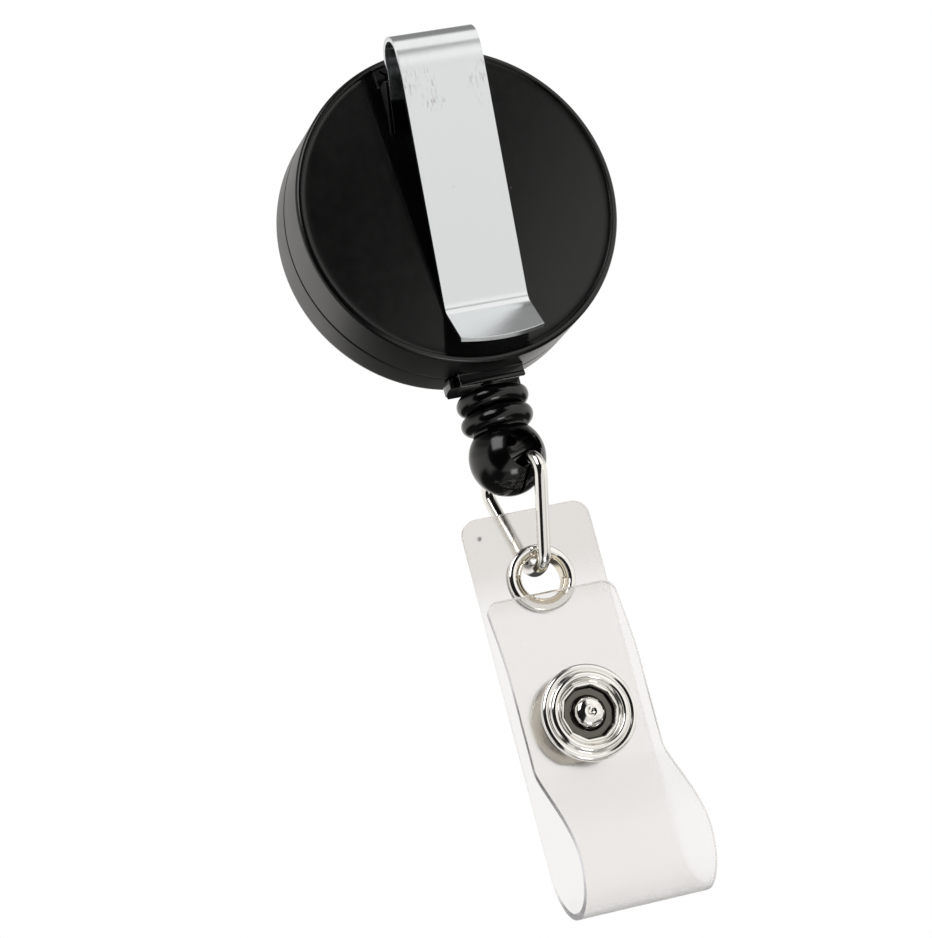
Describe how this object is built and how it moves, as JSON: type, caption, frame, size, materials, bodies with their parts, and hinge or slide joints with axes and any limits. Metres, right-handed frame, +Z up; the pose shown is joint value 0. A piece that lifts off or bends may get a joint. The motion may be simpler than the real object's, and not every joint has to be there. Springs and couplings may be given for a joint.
{
  "type": "retractable badge reel",
  "caption": "Round belt-clip reel with a sprung pull-out cord, a ribbed ball stopper, a wire link and a clear snap strap for an identity card.",
  "frame": {"origin": "belt edge: the middle of the inside of the clip's bend, where the reel hangs", "axes": "+Z up, the strap hangs down; -Y out of the clip side, +Y out of the label side; X across"},
  "size_m": [0.032, 0.0167, 0.0855],
  "materials": {
    "case_plastic": "polished moulded, faint dust",
    "nickel": "bright nickel plate with light rub marks",
    "spring_steel": "blued strip",
    "spool_plastic": "natural, satin",
    "cord": "braided nylon",
    "clear_vinyl": "clear flexible vinyl, slightly frosted"
  },
  "bodies": {
    "case": {"back_shell": "case_plastic", "front_shell": "case_plastic", "cord_guide": "case_plastic", "axle_post": "nickel", "clip_spring_leg": "nickel", "cord_lead": "cord"},
    "clip": {"clip_arm": "nickel"},
    "spool": {"spool": "spool_plastic", "spring_cover": "spool_plastic", "power_spring": "spring_steel", "cord_winding": "cord", "cord_anchor_knot": "cord"},
    "cord_end": {"cord_end_knot": "cord"},
    "stopper": {"stopper": "case_plastic"},
    "link": {"wire_link": "nickel"},
    "strap": {"strap_back": "clear_vinyl", "eyelet": "nickel", "snap_stud": "nickel", "snap_post": "nickel"},
    "flap": {"strap_flap": "clear_vinyl", "snap_cap": "nickel", "snap_socket": "nickel"}
  },
  "joints": [
    {"name": "clip_flex", "type": "hinge", "parent": "case", "child": "clip", "pos_m": [0, 0, -0.0018], "axis": [-1, 0, 0], "range_deg": [0, 10], "stiffness_Nm_per_rad": 0.3, "springref_deg": -5.73},
    {"name": "cord_pull", "type": "slide", "parent": "case", "child": "cord_end", "axis": [0, 0, -1], "range_m": [0, 0.6], "stiffness_N_per_m": 1, "springref_m": -0.9, "deforming": ["cord_lead"]},
    {"name": "spool_turn", "type": "hinge", "parent": "case", "child": "spool", "pos_m": [0, 0.0093, -0.0158], "axis": [0, 1, 0], "range_deg": [0, 3220], "deforming": ["power_spring"]},
    {"name": "stopper_twist", "type": "hinge", "parent": "cord_end", "child": "stopper", "pos_m": [0, 0.0093, -0.0364], "axis": [0, 0, 1], "continuous": true},
    {"name": "link_swing", "type": "hinge", "parent": "stopper", "child": "link", "pos_m": [0, 0.0093, -0.04105], "axis": [-0.2756, 0.9613, 0], "range_deg": [-60, 60]},
    {"name": "strap_swing", "type": "hinge", "parent": "link", "child": "strap", "pos_m": [0, 0.0093, -0.0514], "axis": [-0.2756, 0.9613, 0], "range_deg": [-24, 24]},
    {"name": "flap_open", "type": "hinge", "parent": "strap", "child": "flap", "pos_m": [0, 0.00852, -0.08259], "axis": [1, 0, 0], "range_deg": [0, 75]}
  ],
  "couplings": [
    {"joint": "spool_turn", "follows": "cord_pull", "rad_per_m": 93}
  ]
}
